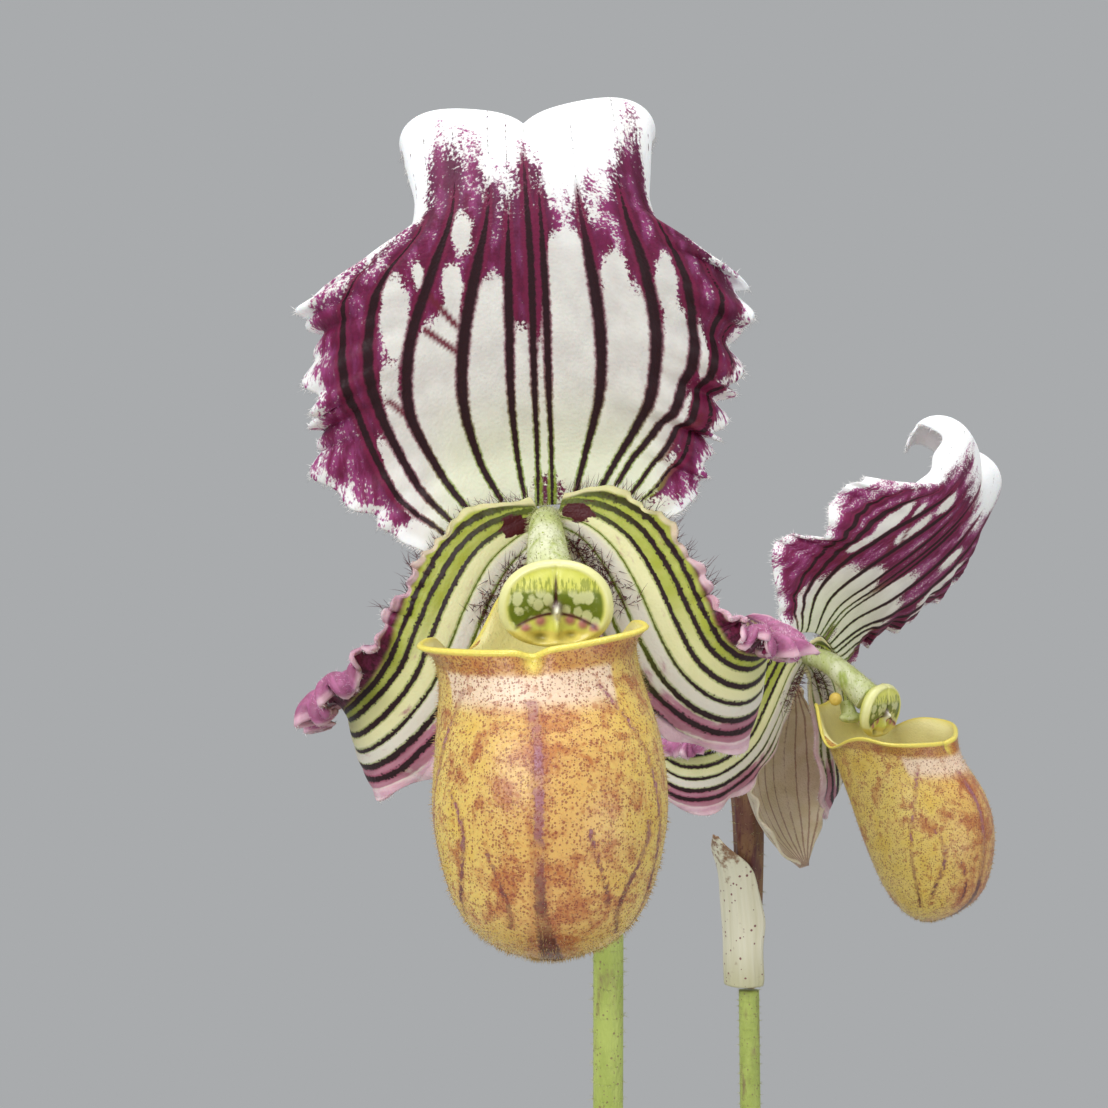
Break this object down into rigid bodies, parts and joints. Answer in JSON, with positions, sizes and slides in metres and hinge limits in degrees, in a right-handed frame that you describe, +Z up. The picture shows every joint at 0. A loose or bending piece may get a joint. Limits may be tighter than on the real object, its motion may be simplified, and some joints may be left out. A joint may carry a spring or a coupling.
{
  "type": "potted slipper orchid",
  "caption": "Slipper orchid in a round clay pot: strap leaves in fans, slender hairy scapes, flowers with a striped upright sepal, drooping petals and a pouch lip.",
  "frame": {"origin": "centre of the pot's flat underside", "axes": "+Z up along the pot's axis, -Y towards the viewer that the larger flower faces, +X to that viewer's right"},
  "size_m": [0.2651, 0.1537, 0.3391],
  "materials": {
    "clay": "matte",
    "bark": "matte",
    "root": "matte",
    "leaf": "satin",
    "scape": "matte",
    "bract": "matte",
    "sepal": "satin",
    "petal": "satin",
    "lip": "satin",
    "column": "matte",
    "staminode": "satin",
    "pollen": "satin"
  },
  "bodies": {
    "root": {"pot": "clay", "potting_mix": "bark", "rootstock": "root", "bark_chip_1": "bark", "bark_chip_2": "bark", "bark_chip_3": "bark", "bark_chip_4": "bark", "bark_chip_5": "bark", "bark_chip_6": "bark", "bark_chip_7": "bark", "bark_chip_8": "bark", "leaf_a1": "leaf", "leaf_a2": "leaf", "leaf_a3": "leaf", "leaf_a4": "leaf", "leaf_a5": "leaf", "leaf_b1": "leaf", "leaf_b2": "leaf", "leaf_b3": "leaf", "leaf_b4": "leaf", "leaf_b5": "leaf", "leaf_c1": "leaf", "leaf_c2": "leaf", "leaf_c3": "leaf", "dorsal_sepal_a": "sepal", "synsepal_a": "sepal", "petal_left_a": "petal", "petal_right_a": "petal", "lip_a": "lip", "column_a": "column", "staminode_a": "staminode", "stigma_a": "column", "anther_left_a": "pollen", "anther_right_a": "pollen", "ovary_a": "scape", "bract_a": "bract", "scape_a": "scape", "dorsal_sepal_b": "sepal", "synsepal_b": "sepal", "petal_left_b": "petal", "petal_right_b": "petal", "lip_b": "lip", "column_b": "column", "staminode_b": "staminode", "stigma_b": "column", "anther_left_b": "pollen", "anther_right_b": "pollen", "ovary_b": "scape", "bract_b": "bract", "scape_b": "scape"}
  },
  "joints": []
}
